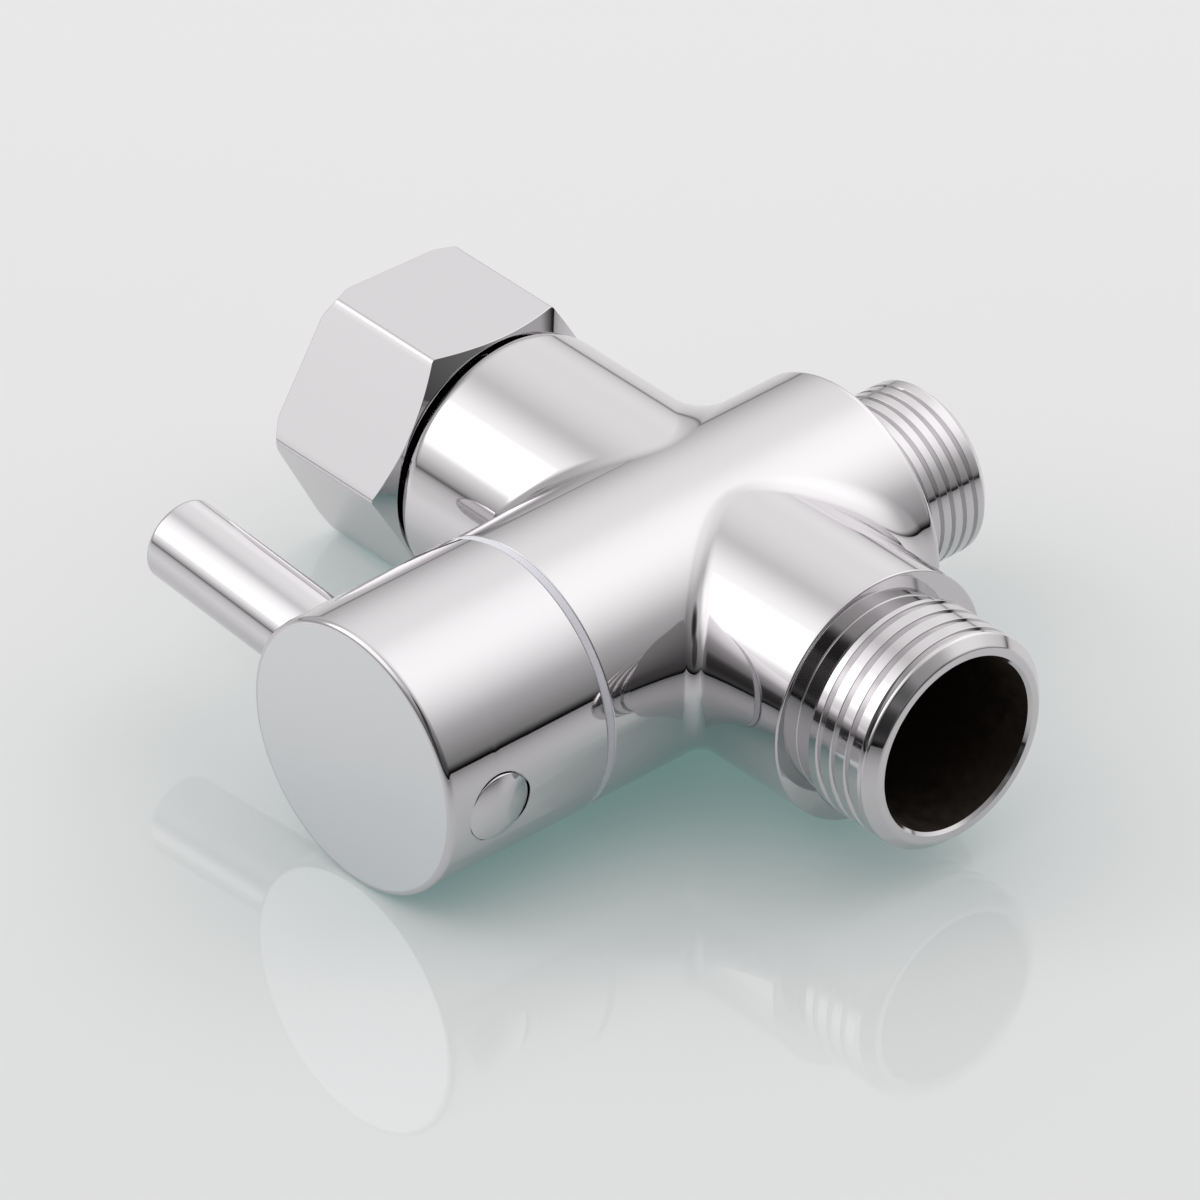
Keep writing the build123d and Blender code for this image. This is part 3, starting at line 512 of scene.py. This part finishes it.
# bore for the working parts, up to the barrel's open front end
CORE_FROM = -16.8
inside = hole_ring((0, PORT_R, CORE_R), (0, PORT_R, CORE_R), 0, ARC, STRIP)
body.append((tube(CORE_R, inside, SEAT_INSIDE, ring, 1, 5), BORED, True))
body.append((tube(CORE_R, inside, CORE_FROM, ring, -1, 5), BORED, True))
mouth = softened(((CORE_FROM, CORE_R), (CORE_FROM, 10.6), (-20.1, 10.6), (-20.1, 11.5),
                  (-21.3, 11.5), (-21.3, BARREL_R), (BARREL_FROM, BARREL_R)), (0, 0, 0, 0, 0.1))
body.append((turned(BARREL, mouth, ring), PLATED, True))
made_piece("valve_body_casting", body, (chrome, turned_chrome, bore_painted_shade), "valve_body",
           "chrome_plate", "valve_body")

# Knob: a turned and plated brass cap that covers the gland nut. The lever screws into its side,
# and opposite the lever a small plug covers the screw that clamps the knob on the stem.
knob_chrome = metal("chrome_knob", (0.632, 0.614, 0.628), 0.02, 0.05, 220, 900, 0.0)
# painted reflection: the knob's flat end face is the same chrome as the rest, given a brighter,
# bluer copy of it for the light it reflects
face_painted_reflection_chrome = metal("chrome_knob_face_painted_reflection", (0.700, 0.705, 0.722), 0.02, 0.05, 220, 900, 0.0)
LEVER_TURN = np.radians(4.5)
OUTWARD = np.array((0, np.cos(LEVER_TURN), np.sin(LEVER_TURN)))
ACROSS = np.array((0, -np.sin(LEVER_TURN), np.cos(LEVER_TURN)))
LEVER_X, PLUG_X, LEVER_HOLE_R, PLUG_HOLE_R = -32.0, -34.7, 4.05, 3.45
KNOB_FROM, KNOB_TO = -39.5, -22.5
knob_arc, knob_strip = 72, 78
knob_ring = even_ring(knob_arc, knob_strip, LEVER_TURN)
knob_holes = hole_ring((LEVER_X, LEVER_HOLE_R, KNOB_R), (PLUG_X, PLUG_HOLE_R, KNOB_R),
                       LEVER_TURN, knob_arc, knob_strip)
face = softened(((KNOB_FROM, KNOB_R), (-40.4, KNOB_R), (-40.4, 0)), (0.6,), 8)
edge_end = len(face) - 3
back = softened(((KNOB_TO, KNOB_R), (-22.2, KNOB_R), (-22.2, 11.65), (-27.2, 11.65),
                 (-27.2, 10.2), (-24.4, 10.2), (-24.4, 4.55), (-38.05, 4.55), (-38.05, 0)),
                (0.12, 0, 0, 0, 0, 0, 0))
# material number of the end face's painted reflection
FACE_PAINTED_REFLECTION = 1
knob = [(tube(KNOB_R, knob_holes, KNOB_TO, knob_ring, 1, 20), PLATED, True),
        (tube(KNOB_R, knob_holes, KNOB_FROM, knob_ring, -1, 14), PLATED, True),
        (turned(BARREL, face[:edge_end + 1], knob_ring), PLATED, True),
        (turned(BARREL, face[edge_end:], knob_ring), FACE_PAINTED_REFLECTION, True),
        (turned(BARREL, back, knob_ring), PLATED, True)]

# the lever's hole, and opposite the plug's, with the screw's hole under it
side_ring = np.linspace(-np.pi / 2, 1.5 * np.pi, 2 * knob_arc, endpoint=False)
for at, way, hole_r, steps_in in (
        (LEVER_X, 1, LEVER_HOLE_R, ((10.8, LEVER_HOLE_R), (10.8, 2.55), (6.55, 2.55), (6.55, 0))),
        (PLUG_X, -1, PLUG_HOLE_R, ((12.5, PLUG_HOLE_R), (12.5, 2.65), (9.85, 2.65), (9.85, 2.05),
                                   (4.7, 2.05), (4.7, 0)))):
    axis = (CENTRE + (at, 0, 0), way * OUTWARD, (1, 0, 0), ACROSS)
    edge = np.sqrt(KNOB_R ** 2 - (hole_r * np.sin(side_ring)) ** 2)
    wall = np.stack((edge, np.full_like(edge, steps_in[0][0])))
    knob.append((around(axis, wall, hole_r, side_ring), PLATED, True))
    knob.append((turned(axis, steps_in, side_ring), PLATED, True))
made_piece("knob_cap", knob, (knob_chrome, face_painted_reflection_chrome), "knob", "chrome_knob", "knob")

# Lever: a plated round bar of brass with a softly rounded end. A stud turned on its inner end
# screws into the knob's side, and its shoulder seats in a shallow pocket there.
lever_axis = (CENTRE + (LEVER_X, 0, 0), OUTWARD, (1, 0, 0), ACROSS)
lever = softened(((6.6, 0), (6.6, 2.5), (10.85, 2.5), (10.85, 4.0), (33.1, 4.0), (33.1, 0)),
                 (0, 0, 0, 0.45), 8)
made_piece("lever_bar", [(turned(lever_axis, lever, side_ring), PLATED, True)], (knob_chrome,),
           "knob", "chrome_knob", "lever")

# Screw cap: a small plated plug that hides the screw on the side away from the lever. It has a
# domed head, a piece of a sphere, and a short shank pressed into the knob.
plug_axis = (CENTRE + (PLUG_X, 0, 0), -OUTWARD, (1, 0, 0), ACROSS)
PLUG_R, CROWN, CROWN_TOP = 3.33, 0.75, 13.75
dome_r = (PLUG_R ** 2 + CROWN ** 2) / (2 * CROWN)
dome = np.linspace(np.arcsin(PLUG_R / dome_r), 0, 12)
head = np.column_stack((CROWN_TOP - dome_r + dome_r * np.cos(dome), dome_r * np.sin(dome)))
stem = softened(((9.9, 0), (9.9, 2.6), (12.55, 2.6), (12.55, PLUG_R), head[0], head[1]),
                (0, 0, 0, 0.12))[:-1]
plug = turned(plug_axis, np.vstack((stem, head[1:])), side_ring)
made_piece("screw_cap_dome", [(plug, PLATED, True)], (knob_chrome,), "knob", "chrome_knob",
           "screw_cap")

# Swivel nut: turned from hexagon bar, bevelled at both ends, with slightly rounded edges, a lip
# that runs behind the split ring, and the thread for the supply pipe. Polished and plated.
nut_chrome = metal("chrome_nut", (0.628, 0.610, 0.624), 0.02, 0.05, 240, 900, 0.0)
FLAT, EDGE_R, FACE_R, FAR_FACE_R, NEAR, FAR = 12.2, 0.55, 12.0, 13.14, 26.75, 41.85
MINOR_R, MOUTH_R, THREAD_FROM, THREAD_TO = 9.32, 10.22, 34.35, 40.95
NUT_TURN = np.radians(-2.4)


def outlines(*corners):
    """One outline for each grid line round an axis. A corner is (along, radius), and each of
    the two is one number or has a value for each line."""
    values = np.broadcast_arrays(*(value for corner in corners for value in corner))
    return np.stack(values, -1).reshape(len(values[0]), -1, 2)


# a sixth of the hexagon: half a flat, then the rounded edge, and its distance from the axis
half_flat = (FLAT - EDGE_R) * np.tan(np.radians(30))
flat = np.column_stack((np.full(27, FLAT), np.linspace(-half_flat, half_flat, 27)))
sweep = np.radians(np.linspace(0, 60, 15)[1:-1])
edge_centre = np.array((FLAT - EDGE_R, half_flat))
rounding = edge_centre + EDGE_R * np.column_stack((np.cos(sweep), np.sin(sweep)))
one_side = np.concatenate((flat, rounding))
corner_r = np.tile(np.hypot(*one_side.T), 6)
side_turn = np.repeat(np.radians(60) * np.arange(6), len(one_side))
side_angle = np.tile(np.arctan2(one_side[:, 1], one_side[:, 0]), 6)
nut_ring = NUT_TURN + np.radians(30) + side_turn + side_angle

# the near end is bevelled at 30 degrees, and the far end at 45
bevel = (corner_r - FACE_R) * np.tan(np.radians(30))
far_r = np.minimum(corner_r - 0.06, FAR_FACE_R)
hexagon = outlines((NEAR, 10.6), (NEAR, FACE_R), (NEAR + bevel, corner_r),
                   (FAR - corner_r + far_r, corner_r), (FAR, far_r), (FAR, MOUTH_R))
hexagon = softened(hexagon, (0.05, 0.08, 0.08, 0.05), 4)
lip = softened(((THREAD_FROM, MINOR_R), (33.04, 10.63), (29.55, 10.63), (29.55, 8.15),
                (27.95, 8.15), (27.95, 10.6), (NEAR, 10.6)), (0.1, 0.1, 0.1, 0.1, 0.1))
nut = [(turned(INLET, hexagon, nut_ring), PLATED, True),
       (turned(INLET, ((FAR, MOUTH_R), (THREAD_TO, MINOR_R)), nut_ring), TURNED, True),
       (thread(INLET, nut_ring, THREAD_FROM, THREAD_TO, MINOR_R, -1.13, HALF_INCH, 0.55,
               hand=-1), TURNED, False),
       (turned(INLET, lip, nut_ring), PLATED, True)]
made_piece("swivel_nut", nut, (nut_chrome, turned_chrome), "union_nut", "chrome_nut", "union_nut")


# Stop ring: the thin pale line between knob and barrel, moulded in acetal. It sits in the
# barrel's mouth, and a lug on its front stands in the knob's groove and ends the lever's turn.
def moulded(name, colour, roughness, grain, depth):
    """A plastic, rubber or ceramic with a fine moulded or lapped grain."""
    material = bpy.data.materials.new(name)
    tree, shader = surface_of(material)
    point = object_point(tree)
    speck = place(tree, "ShaderNodeTexNoise", {"Vector": point, "Scale": grain, "Detail": 3.0})
    darker = (*(0.9 * part for part in colour), 1)
    shade = place(tree, "ShaderNodeMix", {0: speck.outputs[0], 6: darker, 7: (*colour, 1)},
                  data_type="RGBA")
    bump = place(tree, "ShaderNodeBump", {"Height": speck.outputs[0], "Distance": depth,
                                          "Strength": 1.0})
    tree.links.new(shade.outputs[2], shader.inputs["Base Color"])
    tree.links.new(bump.outputs[0], shader.inputs["Normal"])
    shader.inputs["Roughness"].default_value = roughness
    return material


acetal = moulded("pale_acetal", (0.80, 0.80, 0.86), 0.35, 3000, 0.000004)
RING_FRONT, RING_REAR, RING_IN, LUG_R, LUG_LENGTH = -22.15, -21.3, -20.15, 11.35, 4.2
RING_R, RING_HOLE_R = 11.45, 10.75
lug_turn = np.radians(np.concatenate(((75,), np.linspace(75, 105, 15),
                                      np.linspace(105, 435, 166)[:-1])))
in_lug = np.repeat((0.0, 1.0, 0.0), (1, 15, 165))
lug_front, lug_hole_r = RING_FRONT - LUG_LENGTH * in_lug, RING_HOLE_R - 0.3 * in_lug
stop_outline = outlines((RING_REAR, RING_R), (RING_REAR, BARREL_R), (RING_FRONT, BARREL_R),
                        (RING_FRONT, LUG_R), (lug_front, LUG_R), (lug_front, lug_hole_r),
                        (RING_REAR, lug_hole_r), (RING_REAR, RING_HOLE_R), (RING_IN, RING_HOLE_R),
                        (RING_IN, RING_R), (RING_REAR, RING_R))
stop_outline = softened(stop_outline, (0.12, 0.12, 0, 0, 0, 0, 0, 0, 0))
made_piece("stop_ring_line", [(turned(BARREL, stop_outline, lug_turn), 0, True)], (acetal,),
           "valve_body", "pale_plastic", "stop_ring")

# Working parts inside: they show only through the bores, so the CAD solids stay and take their
# real finishes: brass turnings, white slippery plastic, lapped ceramic, rubber and spring steel.
brass = metal("turned_brass", (0.62, 0.42, 0.17), 0.18, 0.34, 1800, 1200, 0.00001)
steel = metal("spring_steel", (0.50, 0.50, 0.51), 0.22, 0.36, 2200, 1400, 0.00001)
slippery = moulded("white_slippery", (0.86, 0.86, 0.84), 0.5, 2500, 0.000003)
ceramic = moulded("lapped_ceramic", (0.88, 0.87, 0.82), 0.2, 4000, 0.000001)
rubber = moulded("black_rubber", (0.022, 0.022, 0.022), 0.7, 3500, 0.00001)
for finish, names in (
        (brass, ("valve_core", "gland_nut")), (slippery, ("port_liner", "thrust_washer")),
        (ceramic, ("fixed_disc", "moving_disc")),
        (rubber, ("disc_gasket", "gland_o_ring", "stem_o_ring_inner", "stem_o_ring_outer",
                  "inlet_washer")),
        (steel, ("set_screw", "retaining_ring", "inlet_strainer"))):
    for name in names:
        nodes[name].data.materials.clear()
        nodes[name].data.materials.append(finish)
